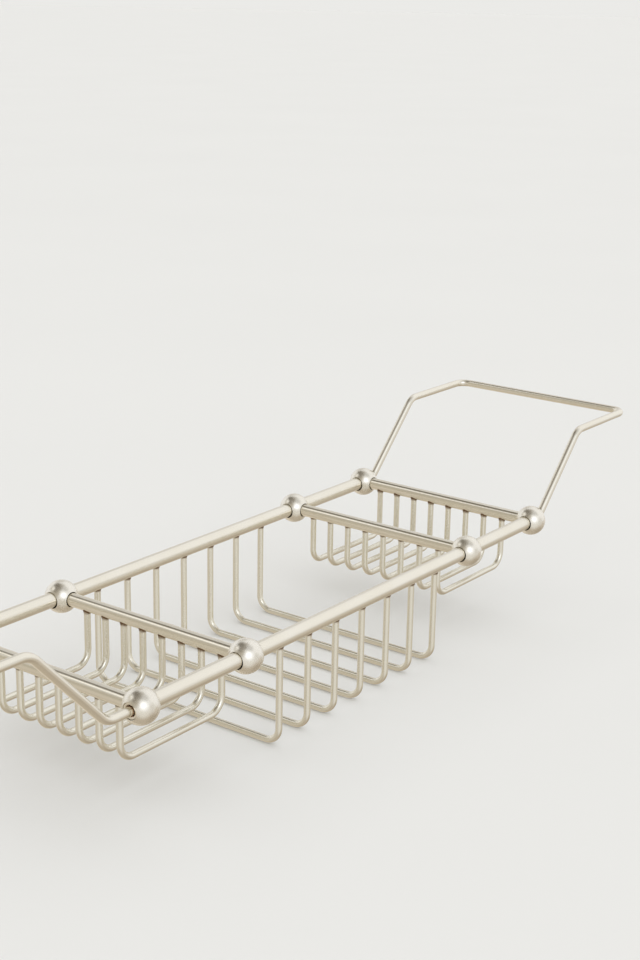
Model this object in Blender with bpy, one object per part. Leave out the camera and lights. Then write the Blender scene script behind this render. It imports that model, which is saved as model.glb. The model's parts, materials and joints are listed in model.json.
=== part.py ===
"""Telescopic wire bath caddy.

Two tube rails and four crossbars meet in eight bored balls. Single bent wires hang from the
bars and make three baskets: a deep one in the middle and a shallow one at each end. A bent rod
arm slides in each end of the rails, and its raised level part carries the caddy.

Metres, +Z up. X runs along the rails, with the near end at -X. Y runs across, with the front
rail at -Y. The origin is under the middle of the rack, level with the lowest wire.
"""
import math

import bmesh
import bpy
from mathutils import Matrix, Vector

MM = 0.001

# Clearance between pieces that touch or slide
FIT_GAP = 0.3 * MM
# How far a cutter runs past the face that it cuts
CUT_OVERRUN = 1.0 * MM

# Layout of the rack, between centre lines
RAIL_SPACING = 169.0 * MM
MIDDLE_BAY_LENGTH = 268.0 * MM
END_BAY_LENGTH = 99.0 * MM

# Tubes
RAIL_DIAMETER = 10.8 * MM
RAIL_BORE = 8.5 * MM
RAIL_END_RECESS = 0.2 * MM
CROSSBAR_DIAMETER = 9.8 * MM
CROSSBAR_BORE = 7.4 * MM

# Joint balls
BALL_DIAMETER = 23.8 * MM
BALL_RIM_CHAMFER = 0.8 * MM

# Grub screws in the balls
SCREW_DIAMETER = 3.8 * MM
SCREW_LENGTH = 5.0 * MM
SCREW_SOCKET_ACROSS_CORNERS = 2.3 * MM
SCREW_SOCKET_DEPTH = 2.0 * MM

# Basket wires, with depths between the centre lines of the bar and the floor, and each
# basket's offset from the middle of its bay, along X for the middle one and Y for the others
WIRE_DIAMETER = 4.8 * MM
END_BASKET_DEPTH = 43.5 * MM
END_BASKET_WIRE_PITCH = 17.6 * MM
END_BASKET_BEND_RADIUS = 11.5 * MM
# How far inside the crossbars' centre lines the end baskets' wires are brazed on
END_BASKET_INSET = 1.3 * MM
END_BASKET_WIRES = 8
NEAR_BASKET_OFFSET = -3.5 * MM
FAR_BASKET_OFFSET = 3.5 * MM
MIDDLE_BASKET_DEPTH = 75.5 * MM
MIDDLE_BASKET_WIRE_PITCH = 31.3 * MM
MIDDLE_BASKET_BEND_RADIUS = 11.0 * MM
MIDDLE_BASKET_WIRES = 7
MIDDLE_BASKET_OFFSET = -4.5 * MM

# End arms, with lengths between the corners of the centre line
ARM_ROD_DIAMETER = 6.4 * MM
ARM_RISE_HEIGHT = 62.0 * MM
ARM_RISE_RUN = 59.0 * MM
ARM_REST_SPAN = 84.5 * MM
ARM_BEND_RADIUS = 16.0 * MM
ARM_CORNER_RADIUS = 10.0 * MM
ARM_LEG_LENGTH = 165.0 * MM
ARM_STUB_PUSHED_IN = 12.5 * MM
NEAR_ARM_PULLED_OUT = 17.0 * MM

# Glide rings in the arm legs
GLIDE_GROOVE_DIAMETER = 4.6 * MM
GLIDE_GROOVE_WIDTH = 6.0 * MM
GLIDE_GROOVE_FROM_END = 4.0 * MM
GLIDE_SLIT = 1.2 * MM

# Facets
TUBE_SIDES = 16
WIRE_SIDES = 8
ROD_SIDES = 12
BALL_SIDES = 20
BALL_ARC_STEPS = 10
BEND_STEPS = 4
SCREW_SIDES = 12
GLIDE_STEPS = 14
# Edges that turn more than this are shaded sharp
SHARP_EDGE_TURN = math.radians(40)

# Finishes: colour, roughness and metallic value
NICKEL_SATIN = ((0.72, 0.67, 0.58, 1.0), 0.34, 1.0)
NICKEL_BALL = ((0.74, 0.70, 0.62, 1.0), 0.28, 1.0)
NICKEL_WIRE = ((0.70, 0.64, 0.54, 1.0), 0.36, 1.0)
STEEL_SCREW = ((0.38, 0.37, 0.36, 1.0), 0.40, 1.0)
NYLON_GLIDE = ((0.86, 0.85, 0.81, 1.0), 0.50, 0.0)

# Worked out from the sizes above
RAIL_RADIUS = RAIL_DIAMETER / 2
CROSSBAR_RADIUS = CROSSBAR_DIAMETER / 2
BALL_RADIUS = BALL_DIAMETER / 2
WIRE_RADIUS = WIRE_DIAMETER / 2
ARM_ROD_RADIUS = ARM_ROD_DIAMETER / 2
RAIL_HEIGHT = MIDDLE_BASKET_DEPTH + WIRE_RADIUS
HALF_SPACING = RAIL_SPACING / 2
BALL_BORE_RADIUS = RAIL_RADIUS + FIT_GAP
BALL_MOUTH_RADIUS = BALL_BORE_RADIUS + BALL_RIM_CHAMFER
BALL_MOUTH_REACH = math.sqrt(BALL_RADIUS ** 2 - BALL_MOUTH_RADIUS ** 2)
END_BALL_OFFSET = MIDDLE_BAY_LENGTH / 2 + END_BAY_LENGTH
RAIL_LENGTH = 2 * (END_BALL_OFFSET + BALL_MOUTH_REACH - RAIL_END_RECESS)
CROSSBAR_LENGTH = RAIL_SPACING - 2 * BALL_BORE_RADIUS
RACK_CENTRE_X = NEAR_ARM_PULLED_OUT / 2
CROSSBAR_OFFSETS = (
    -END_BALL_OFFSET,
    -MIDDLE_BAY_LENGTH / 2,
    MIDDLE_BAY_LENGTH / 2,
    END_BALL_OFFSET,
)


def clear_scene():
    """Remove every object that the scene starts with."""
    for existing in list(bpy.data.objects):
        bpy.data.objects.remove(existing, do_unlink=True)


def finish_material(name, finish):
    """A plain Principled material from a colour, a roughness and a metallic value."""
    colour, roughness, metallic = finish
    material = bpy.data.materials.new(name)
    material.use_nodes = True
    shader = material.node_tree.nodes["Principled BSDF"]
    shader.inputs["Base Color"].default_value = colour
    shader.inputs["Roughness"].default_value = roughness
    shader.inputs["Metallic"].default_value = metallic
    material.diffuse_color = colour
    return material


def solid_mesh(name, points, faces):
    """A closed mesh with outward faces, smooth except at its hard edges."""
    mesh = bpy.data.meshes.new(name)
    mesh.from_pydata(points, [], faces)
    shape = bmesh.new()
    shape.from_mesh(mesh)
    bmesh.ops.recalc_face_normals(shape, faces=shape.faces)
    shape.to_mesh(mesh)
    shape.free()
    mesh.shade_smooth()
    mesh.set_sharp_from_angle(angle=SHARP_EDGE_TURN)
    return mesh


def add_piece(name, mesh, finish, place=Matrix.Identity(4), parent=None):
    """One named piece, with its own material, placed by a matrix under an optional parent."""
    piece = bpy.data.objects.new(name, mesh)
    bpy.context.collection.objects.link(piece)
    piece.parent = parent
    piece.matrix_basis = place
    if not mesh.materials:
        mesh.materials.append(None)
    piece.material_slots[0].link = "OBJECT"
    piece.material_slots[0].material = finish_material(name + "_finish", finish)
    return piece


def circle_point(radius, step, steps):
    """The two coordinates of a point on a circle, a number of equal steps round from its start."""
    angle = math.tau * step / steps
    return radius * math.cos(angle), radius * math.sin(angle)


def turned_mesh(name, profile, sides):
    """A closed profile of (place along X, radius) points turned about the X axis."""
    points = []
    for along, radius in profile:
        for step in range(sides):
            across, up = circle_point(radius, step, sides)
            points.append((along, across, up))
    faces = []
    for ring in range(len(profile)):
        following = (ring + 1) % len(profile)
        for step in range(sides):
            turn = (step + 1) % sides
            faces.append((
                ring * sides + step,
                ring * sides + turn,
                following * sides + turn,
                following * sides + step,
            ))
    return solid_mesh(name, points, faces)


def tube_mesh(name, length, outer_diameter, bore_diameter):
    """A tube along X with open ends, centred on the origin."""
    profile = [
        (-length / 2, outer_diameter / 2),
        (length / 2, outer_diameter / 2),
        (length / 2, bore_diameter / 2),
        (-length / 2, bore_diameter / 2),
    ]
    return turned_mesh(name, profile, TUBE_SIDES)


def rounded_path(corners, radii):
    """Straight runs between corners, with an arc of the given radius at each inner corner."""
    path = [corners[0]]
    for before, corner, after, radius in zip(corners, corners[1:], corners[2:], radii):
        incoming = (corner - before).normalized()
        outgoing = (after - corner).normalized()
        turn = incoming.angle(outgoing)
        start = corner - incoming * radius * math.tan(turn / 2)
        inward = (outgoing - incoming * incoming.dot(outgoing)).normalized()
        centre = start + inward * radius
        spin_axis = incoming.cross(outgoing).normalized()
        for step in range(BEND_STEPS + 1):
            spin = Matrix.Rotation(turn * step / BEND_STEPS, 3, spin_axis)
            path.append(centre + spin @ (start - centre))
    path.append(corners[-1])
    return path


def path_tangents(path):
    """The direction of the path at each point, halfway between the runs before and after it."""
    runs = [(after - before) for before, after in zip(path, path[1:])]
    directions = [run.normalized() for run in runs]
    # A step in the radius is two points in one place, which takes its neighbours' direction
    for place in range(1, len(directions)):
        if runs[place].length < FIT_GAP / 2:
            directions[place] = directions[place - 1]
    tangents = [directions[0]]
    for before, after in zip(directions, directions[1:]):
        tangents.append((before + after).normalized())
    tangents.append(directions[-1])
    return tangents


def rod_shape(path, radii, sides):
    """Points and faces of a round rod along a path, with a radius for each point of it.

    Ring after ring of points comes first, then the middle point of each end.
    """
    tangents = path_tangents(path)
    normal = tangents[0].orthogonal().normalized()
    points = []
    for place, (centre, tangent) in enumerate(zip(path, tangents)):
        if place:
            normal = tangents[place - 1].rotation_difference(tangent) @ normal
        binormal = tangent.cross(normal)
        for step in range(sides):
            first, second = circle_point(radii[place], step, sides)
            points.append(centre + normal * first + binormal * second)
    faces = []
    for ring in range(len(path) - 1):
        for step in range(sides):
            turn = (step + 1) % sides
            faces.append((
                ring * sides + step,
                ring * sides + turn,
                (ring + 1) * sides + turn,
                (ring + 1) * sides + step,
            ))
    for end_ring, end_point in ((0, path[0]), (len(path) - 1, path[-1])):
        middle = len(points)
        points.append(end_point.copy())
        for step in range(sides):
            turn = (step + 1) % sides
            faces.append((end_ring * sides + step, end_ring * sides + turn, middle))
    return points, faces


def basket_wire_mesh(name, span, depth, bend_radius, bar_radius, inset=0.0):
    """A U of wire in the XZ plane whose two ends are cut to fit under round bars.

    The bars run along Y at x = -span / 2 and x = span / 2, on the level z = 0. The wire's legs
    stand inside them by the inset.
    """
    seat = bar_radius + FIT_GAP
    half = span / 2 - inset
    corners = [
        Vector((-half, 0, -seat)),
        Vector((-half, 0, -depth)),
        Vector((half, 0, -depth)),
        Vector((half, 0, -seat)),
    ]
    path = rounded_path(corners, [bend_radius, bend_radius])
    points, faces = rod_shape(path, [WIRE_RADIUS] * len(path), WIRE_SIDES)
    last_ring = (len(path) - 1) * WIRE_SIDES
    middles = len(path) * WIRE_SIDES
    start_points = points[:WIRE_SIDES] + points[middles:middles + 1]
    end_points = points[last_ring:last_ring + WIRE_SIDES] + points[middles + 1:]
    for bar_x, end_group in ((-span / 2, start_points), (span / 2, end_points)):
        for point in end_group:
            point.z = -math.sqrt(seat ** 2 - (point.x - bar_x) ** 2)
    return solid_mesh(name, points, faces)


def ball_mesh(name):
    """A ball bored through along X, with a socket towards +Y and a screw hole from below."""
    mouth_angle = math.asin(BALL_MOUTH_RADIUS / BALL_RADIUS)
    profile = []
    for step in range(BALL_ARC_STEPS + 1):
        angle = mouth_angle + (math.pi - 2 * mouth_angle) * step / BALL_ARC_STEPS
        profile.append((BALL_RADIUS * math.cos(angle), BALL_RADIUS * math.sin(angle)))
    bore_reach = BALL_MOUTH_REACH - BALL_RIM_CHAMFER
    profile.append((-bore_reach, BALL_BORE_RADIUS))
    profile.append((bore_reach, BALL_BORE_RADIUS))
    pattern = bpy.data.objects.new(name, turned_mesh(name, profile, BALL_SIDES))
    bpy.context.collection.objects.link(pattern)
    cut_reach = BALL_RADIUS + CUT_OVERRUN
    socket_turn = Matrix.Rotation(math.radians(90), 4, "Z")
    screw_turn = Matrix.Rotation(math.radians(90), 4, "Y")
    cutters = []
    for cut_name, radius, sides, turn in (
        ("crossbar_socket", CROSSBAR_RADIUS + FIT_GAP, TUBE_SIDES, socket_turn),
        ("screw_hole", SCREW_DIAMETER / 2 + FIT_GAP, SCREW_SIDES, screw_turn),
    ):
        path = [Vector((0, 0, 0)), Vector((cut_reach, 0, 0))]
        points, faces = rod_shape(path, [radius, radius], sides)
        cutter = bpy.data.objects.new(cut_name, solid_mesh(cut_name, points, faces))
        bpy.context.collection.objects.link(cutter)
        cutter.matrix_basis = turn
        cutter.hide_render = True
        cutter.display_type = "WIRE"
        cut = pattern.modifiers.new(cut_name, "BOOLEAN")
        cut.operation = "DIFFERENCE"
        cut.solver = "EXACT"
        cut.object = cutter
        cutters.append(cutter)
    bpy.context.view_layer.update()
    evaluated = pattern.evaluated_get(bpy.context.evaluated_depsgraph_get())
    bored = bpy.data.meshes.new_from_object(evaluated)
    bored.name = name
    for helper in cutters + [pattern]:
        bpy.data.objects.remove(helper, do_unlink=True)
    bored.materials.clear()
    bored.set_sharp_from_angle(angle=SHARP_EDGE_TURN)
    return bored


def grub_screw_mesh(name):
    """A grub screw along X, from its tip at x = 0 to its six-sided socket at +X."""
    socket_floor = SCREW_LENGTH - SCREW_SOCKET_DEPTH
    rings = (
        (0.0, SCREW_DIAMETER / 2, False),
        (SCREW_LENGTH, SCREW_DIAMETER / 2, False),
        (SCREW_LENGTH, SCREW_SOCKET_ACROSS_CORNERS / 2, True),
        (socket_floor, SCREW_SOCKET_ACROSS_CORNERS / 2, True),
    )
    points = []
    for along, radius, six_sided in rings:
        for step in range(SCREW_SIDES):
            # Every second point of a six-sided ring lies in the middle of a flat
            on_flat = six_sided and step % 2
            flat_share = math.cos(math.radians(30)) if on_flat else 1.0
            across, up = circle_point(radius * flat_share, step, SCREW_SIDES)
            points.append((along, across, up))
    faces = []
    for ring in range(len(rings) - 1):
        for step in range(SCREW_SIDES):
            turn = (step + 1) % SCREW_SIDES
            faces.append((
                ring * SCREW_SIDES + step,
                ring * SCREW_SIDES + turn,
                (ring + 1) * SCREW_SIDES + turn,
                (ring + 1) * SCREW_SIDES + step,
            ))
    faces.append(tuple(range(SCREW_SIDES)))
    socket_ring = (len(rings) - 1) * SCREW_SIDES
    faces.append(tuple(range(socket_ring, socket_ring + SCREW_SIDES)))
    return solid_mesh(name, points, faces)


def glide_ring_mesh(name):
    """A slit ring about the X axis that snaps into the groove of an arm leg."""
    inner = GLIDE_GROOVE_DIAMETER / 2 + FIT_GAP
    outer = RAIL_BORE / 2 - FIT_GAP
    half_width = GLIDE_GROOVE_WIDTH / 2 - FIT_GAP
    half_slit_angle = GLIDE_SLIT / (inner + outer)
    section = ((-half_width, inner), (half_width, inner), (half_width, outer), (-half_width, outer))
    points = []
    for step in range(GLIDE_STEPS + 1):
        angle = half_slit_angle + (math.tau - 2 * half_slit_angle) * step / GLIDE_STEPS
        for along, radius in section:
            points.append((along, radius * math.cos(angle), radius * math.sin(angle)))
    corners = len(section)
    faces = []
    for slice_index in range(GLIDE_STEPS):
        for corner in range(corners):
            following = (corner + 1) % corners
            faces.append((
                slice_index * corners + corner,
                slice_index * corners + following,
                (slice_index + 1) * corners + following,
                (slice_index + 1) * corners + corner,
            ))
    faces.append(tuple(range(corners)))
    faces.append(tuple(range(GLIDE_STEPS * corners, (GLIDE_STEPS + 1) * corners)))
    return solid_mesh(name, points, faces)


def arm_leg_start(leg_end_x, leg_y):
    """Path points and radii of a leg's inner end, with the groove for its glide ring."""
    groove_start = leg_end_x + GLIDE_GROOVE_FROM_END
    groove_end = groove_start + GLIDE_GROOVE_WIDTH
    groove_radius = GLIDE_GROOVE_DIAMETER / 2
    steps = (
        (leg_end_x, ARM_ROD_RADIUS),
        (groove_start, ARM_ROD_RADIUS),
        (groove_start, groove_radius),
        (groove_end, groove_radius),
        (groove_end, ARM_ROD_RADIUS),
    )
    path = [Vector((along, leg_y, 0)) for along, radius in steps]
    radii = [radius for along, radius in steps]
    return path, radii


def arm_mesh(name):
    """One end arm, reaching towards +X, with x = 0 at the centre of the end balls.

    It is drawn pushed all the way in. The legs run in the rails on the level z = 0, rise
    outwards, run level again and are joined by a bar across the end.
    """
    bend_x = ARM_STUB_PUSHED_IN
    top_x = bend_x + ARM_RISE_RUN
    end_x = top_x + ARM_REST_SPAN
    leg_end_x = bend_x - ARM_LEG_LENGTH
    start_path, start_radii = arm_leg_start(leg_end_x, -HALF_SPACING)
    finish_path, finish_radii = arm_leg_start(leg_end_x, HALF_SPACING)
    corners = [
        start_path[-1],
        Vector((bend_x, -HALF_SPACING, 0)),
        Vector((top_x, -HALF_SPACING, ARM_RISE_HEIGHT)),
        Vector((end_x, -HALF_SPACING, ARM_RISE_HEIGHT)),
        Vector((end_x, HALF_SPACING, ARM_RISE_HEIGHT)),
        Vector((top_x, HALF_SPACING, ARM_RISE_HEIGHT)),
        Vector((bend_x, HALF_SPACING, 0)),
        finish_path[-1],
    ]
    bends = [ARM_BEND_RADIUS, ARM_BEND_RADIUS, ARM_CORNER_RADIUS]
    middle_path = rounded_path(corners, bends + bends[::-1])
    path = start_path[:-1] + middle_path + finish_path[-2::-1]
    plain_radii = [ARM_ROD_RADIUS] * len(middle_path)
    radii = start_radii[:-1] + plain_radii + finish_radii[-2::-1]
    points, faces = rod_shape(path, radii, ROD_SIDES)
    return solid_mesh(name, points, faces)


def rack_empty():
    """The rack's own frame: the middle of the rails, on their centre lines' level."""
    rack = bpy.data.objects.new("rack_frame", None)
    bpy.context.collection.objects.link(rack)
    rack.location = (RACK_CENTRE_X, 0, RAIL_HEIGHT)
    return rack


def build_rails(rack):
    """The two long side tubes."""
    mesh = tube_mesh("rail", RAIL_LENGTH, RAIL_DIAMETER, RAIL_BORE)
    for side_name, side in (("front", -1), ("back", 1)):
        place = Matrix.Translation((0, side * HALF_SPACING, 0))
        add_piece("rail_" + side_name, mesh, NICKEL_SATIN, place, rack)


def build_crossbars(rack):
    """The four tubes between the rails, whose ends stop just short of them inside the balls."""
    mesh = tube_mesh("crossbar", CROSSBAR_LENGTH, CROSSBAR_DIAMETER, CROSSBAR_BORE)
    quarter_turn = Matrix.Rotation(math.radians(90), 4, "Z")
    for number, offset in enumerate(CROSSBAR_OFFSETS, start=1):
        place = Matrix.Translation((offset, 0, 0)) @ quarter_turn
        add_piece(f"crossbar_{number}", mesh, NICKEL_SATIN, place, rack)


def build_balls(rack):
    """Four balls on each rail, their sockets facing the other rail, with a grub screw each."""
    ball = ball_mesh("joint_ball")
    screw = grub_screw_mesh("set_screw")
    screw_turn = Matrix.Rotation(math.radians(90), 4, "Y")
    for side_name, side in (("front", -1), ("back", 1)):
        facing = Matrix.Rotation(math.radians(0 if side < 0 else 180), 4, "Z")
        for number, offset in enumerate(CROSSBAR_OFFSETS, start=1):
            centre = Matrix.Translation((offset, side * HALF_SPACING, 0))
            ball_name = f"joint_ball_{side_name}_{number}"
            add_piece(ball_name, ball, NICKEL_BALL, centre @ facing, rack)
            tip = centre @ Matrix.Translation((0, 0, -BALL_BORE_RADIUS))
            screw_name = f"set_screw_{side_name}_{number}"
            add_piece(screw_name, screw, STEEL_SCREW, tip @ screw_turn, rack)


def build_end_baskets(rack):
    """The shallow baskets, whose wires run lengthwise between a pair of crossbars."""
    mesh = basket_wire_mesh(
        "end_basket_wire", END_BAY_LENGTH, END_BASKET_DEPTH, END_BASKET_BEND_RADIUS,
        CROSSBAR_RADIUS, END_BASKET_INSET,
    )
    bay_centre = (MIDDLE_BAY_LENGTH + END_BAY_LENGTH) / 2
    first_y = -END_BASKET_WIRE_PITCH * (END_BASKET_WIRES - 1) / 2
    for end_name, side, offset in (("near", -1, NEAR_BASKET_OFFSET), ("far", 1, FAR_BASKET_OFFSET)):
        for index in range(END_BASKET_WIRES):
            wire_y = offset + first_y + index * END_BASKET_WIRE_PITCH
            place = Matrix.Translation((side * bay_centre, wire_y, 0))
            add_piece(f"{end_name}_basket_wire_{index + 1}", mesh, NICKEL_WIRE, place, rack)


def build_middle_basket(rack):
    """The deep basket, whose wires run across from rail to rail."""
    mesh = basket_wire_mesh(
        "middle_basket_wire", RAIL_SPACING, MIDDLE_BASKET_DEPTH, MIDDLE_BASKET_BEND_RADIUS,
        RAIL_RADIUS,
    )
    quarter_turn = Matrix.Rotation(math.radians(90), 4, "Z")
    first_x = MIDDLE_BASKET_OFFSET - MIDDLE_BASKET_WIRE_PITCH * (MIDDLE_BASKET_WIRES - 1) / 2
    for index in range(MIDDLE_BASKET_WIRES):
        wire_x = first_x + index * MIDDLE_BASKET_WIRE_PITCH
        place = Matrix.Translation((wire_x, 0, 0)) @ quarter_turn
        add_piece(f"middle_basket_wire_{index + 1}", mesh, NICKEL_WIRE, place, rack)


def build_arms(rack):
    """The two telescoping end arms, each under an empty that slides along X."""
    mesh = arm_mesh("end_arm")
    ring = glide_ring_mesh("glide_ring")
    groove_middle = GLIDE_GROOVE_FROM_END + GLIDE_GROOVE_WIDTH / 2
    ring_x = ARM_STUB_PUSHED_IN - ARM_LEG_LENGTH + groove_middle
    for end_name, side, pulled_out in (("near", -1, NEAR_ARM_PULLED_OUT), ("far", 1, 0.0)):
        slide = bpy.data.objects.new(end_name + "_arm_slide", None)
        bpy.context.collection.objects.link(slide)
        slide.parent = rack
        slide.location = (side * (END_BALL_OFFSET + pulled_out), 0, 0)
        slide.rotation_euler = (0, 0, math.radians(0 if side > 0 else 180))
        add_piece(end_name + "_arm", mesh, NICKEL_SATIN, parent=slide)
        for rail_name, rail_side in (("front", -1), ("back", 1)):
            # The near arm's frame is turned half round, so its front leg is at its own +Y
            place = Matrix.Translation((ring_x, side * rail_side * HALF_SPACING, 0))
            ring_name = f"glide_ring_{end_name}_{rail_name}"
            add_piece(ring_name, ring, NYLON_GLIDE, place, slide)


def main():
    """Build the whole caddy."""
    clear_scene()
    rack = rack_empty()
    build_rails(rack)
    build_crossbars(rack)
    build_balls(rack)
    build_end_baskets(rack)
    build_middle_basket(rack)
    build_arms(rack)
    bpy.context.view_layer.update()


main()
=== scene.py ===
"""A telescopic wire caddy in satin nickel, dressed for a picture.

Every piece is worked out from the boxes of the packed nodes and from the sizes in the property
groups below. X runs along the rails, Y across them and Z up, in metres.
"""

import json
import math

import bpy
import numpy as np
from bpy.props import FloatProperty, FloatVectorProperty, IntProperty, PointerProperty
from mathutils import Matrix, Vector


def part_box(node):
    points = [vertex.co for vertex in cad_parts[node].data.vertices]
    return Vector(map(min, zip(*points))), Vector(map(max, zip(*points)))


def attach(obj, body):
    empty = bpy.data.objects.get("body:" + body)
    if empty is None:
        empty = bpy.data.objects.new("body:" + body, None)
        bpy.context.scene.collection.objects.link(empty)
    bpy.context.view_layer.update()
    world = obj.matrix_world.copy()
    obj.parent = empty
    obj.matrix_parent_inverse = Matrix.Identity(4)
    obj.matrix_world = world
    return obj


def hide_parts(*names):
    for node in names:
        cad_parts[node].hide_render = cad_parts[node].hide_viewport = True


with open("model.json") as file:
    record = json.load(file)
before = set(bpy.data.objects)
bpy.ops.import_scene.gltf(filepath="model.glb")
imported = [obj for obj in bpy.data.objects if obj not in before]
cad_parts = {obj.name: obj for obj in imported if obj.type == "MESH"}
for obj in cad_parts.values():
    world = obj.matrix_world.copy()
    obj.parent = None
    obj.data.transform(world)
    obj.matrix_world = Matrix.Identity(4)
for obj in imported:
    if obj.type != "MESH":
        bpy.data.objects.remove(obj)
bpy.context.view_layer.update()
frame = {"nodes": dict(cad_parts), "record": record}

bl_info = {
    "name": "Telescopic wire caddy",
    "version": (1, 0, 0),
    "blender": (4, 5, 0),
    "location": "3D View > Sidebar > Caddy",
    "description": "Builds a satin nickel wire caddy with joint balls and sliding end arms",
    "category": "Add Mesh",
}

MM = 0.001
ENDS = ("near", "far")
SIDES = ("front", "back")

# Straight steps in the rounds of the profiles and paths
EDGE_STEPS = 5
HOLE_EDGE_STEPS = 6
WIRE_BEND_STEPS = 14
ARM_BEND_STEPS = 20
BRAZE_STEPS = 8
FLOOR_RINGS = 60
BACKDROP_RINGS = 40
STAGE_SIDES = 96

# The nearest and farthest that the camera sees, in metres
VIEW_DEPTHS = (0.01, 500.0)

# Grain, specks and clouds of the finishes, per metre along each axis. A rod's first axis is its
# own length
ROD_GRAIN = (260, 1500, 1500)
BALL_GRAIN = (900, 900, 900)
BRAZE_SPECKS = (900, 900, 900)
TARNISH_CLOUDS = (38, 38, 38)
FLOOR_CLOUDS = (2, 2, 2)
STEEL_MOTTLE = (2600, 2600, 2600)
NYLON_MOTTLE = (1500, 1500, 1500)

# How much the tarnish, the mottling and the floor's clouds take from each channel
TARNISH_TINT = (0.93, 0.90, 0.83)
MOTTLE_TINT = (0.88, 0.88, 0.88)
FLOOR_TINT = (0.97, 0.97, 0.97)

# How strongly the grain of rods and balls, and the mottling, stand out, how deep they are, and
# how far the roughness swings with them
ROD_RELIEF = 0.04
BALL_RELIEF = 0.012
GRAIN_DEPTH = 0.02 * MM
GRAIN_SWING = (-0.02, 0.03)
MOTTLE_RELIEF = 0.15
MOTTLE_DEPTH = 0.03 * MM
MOTTLE_SWING = (-0.06, 0.06)

# Octaves of the noises, the middle of a noise's range, the stretches where the tarnish and the
# braze grow from nothing to full, and how ragged the braze's edge is
PLAIN_DETAIL = 3.0
RICH_DETAIL = 4.0
NOISE_MIDDLE = (0.3, 0.7)
TARNISH_GROWTH = (0.35, 0.75)
BRAZE_GROWTH = (0.60, 1.10)
BRAZE_RAGGEDNESS = 0.5


def length(name, description, millimetres):
    """A length property whose default is given in millimetres."""
    return FloatProperty(
        name=name, description=description, default=millimetres * MM, min=0.0, precision=5,
        unit="LENGTH", subtype="DISTANCE",
    )


def share(name, description, default):
    """A property between nought and one."""
    return FloatProperty(
        name=name, description=description, default=default, min=0.0, max=1.0, subtype="FACTOR",
    )


def bearing(name, description, degrees):
    """An angle property whose default is given in degrees."""
    return FloatProperty(
        name=name, description=description, default=math.radians(degrees), subtype="ANGLE",
    )


def amount(name, description, default):
    """A property of nought or more."""
    return FloatProperty(name=name, description=description, default=default, min=0.0)


def sides(description, default):
    """How many faces go round a piece."""
    return IntProperty(name="Sides", description=description, default=default, min=8)


def colour(name, description, default):
    """A colour property with three channels."""
    return FloatVectorProperty(
        name=name, description=description, default=default, size=3, min=0.0, max=1.0, subtype="COLOR",
    )


class CaddyTubeSizes(bpy.types.PropertyGroup):
    """Sizes of the rails and crossbars that their boxes don't tell."""

    rail_bore: length("Rail bore", "Inner diameter of the two rails", 8.5)
    crossbar_bore: length("Crossbar bore", "Inner diameter of the four crossbars", 7.4)
    edge_rounding: length("Edge rounding", "Radius that breaks the edges of the tube ends", 0.3)
    rail_lip: length("Rail lip", "Opening of the lip inside each end of a rail", 7.3)
    lip_length: length("Lip length", "How far the lip reaches into a rail", 2.4)
    lip_rounding: length("Lip rounding", "Radius of the flare from a rail's lip to its end", 1.1)
    tube_sides: sides("Faces around each tube", 64)


class CaddyBallSizes(bpy.types.PropertyGroup):
    """Sizes of the joint balls and their grub screws."""

    mouth_gap: length("Mouth gap", "Clearance round a tube where it enters a ball", 0.42)
    hole_drop_share: share("Hole drop", "How far a hole sits below its rail, as a share of the gap", 0.75)
    outer_gap: length("Outer gap", "Clearance round a rail's end in an end ball", 0.15)
    rim_rounding: length("Rim rounding", "Radius that breaks the edge of each hole", 0.8)
    screw_gap: length("Screw gap", "Clearance round a grub screw", 0.3)
    socket_across_corners: length("Socket", "Width of a screw's six-sided socket", 2.3)
    socket_depth: length("Socket depth", "Depth of a screw's six-sided socket", 2.0)
    screw_chamfer: length("Screw chamfer", "Chamfer at both ends of a grub screw", 0.35)
    ball_sides: sides("Faces around each ball", 96)
    screw_sides: sides("Faces around each grub screw", 48)


class CaddyWireSizes(bpy.types.PropertyGroup):
    """Bends of the basket wires, and the braze that joins them to their bars."""

    end_bend_radius: length("End basket bend", "Bend radius of the end baskets' wires", 11.5)
    end_inset: length("End basket inset", "How far the end baskets' wires stand inside their bars", 1.3)
    middle_bend_radius: length("Middle basket bend", "Bend radius of the middle basket's wires", 11.0)
    braze_flare: length("Braze flare", "How far the braze stands out round a wire's end", 0.6)
    braze_reach: length("Braze reach", "How far the braze runs down a wire", 2.4)
    braze_sink: length("Braze sink", "How far a wire's end goes into its bar", 0.15)
    wire_sides: sides("Faces around each wire", 28)


class CaddyArmSizes(bpy.types.PropertyGroup):
    """Sizes of the bent end arms, between the corners of the centre line."""

    rise_run: length("Rise run", "How far out an arm travels while it rises", 59.0)
    rest_span: length("Rest span", "Length of an arm's level part", 84.5)
    bend_radius: length("Bend radius", "Radius of the bends of the rise", 16.0)
    corner_radius: length("Corner radius", "Radius of the corners beside the end bar", 10.0)
    groove_diameter: length("Groove", "Diameter of a leg in the groove of its glide ring", 4.6)
    groove_gap: length("Groove gap", "Clearance along the leg beside a glide ring", 0.3)
    end_chamfer: length("End chamfer", "Chamfer at the inner end of a leg", 0.6)
    arm_sides: sides("Faces around each arm", 40)


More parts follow.
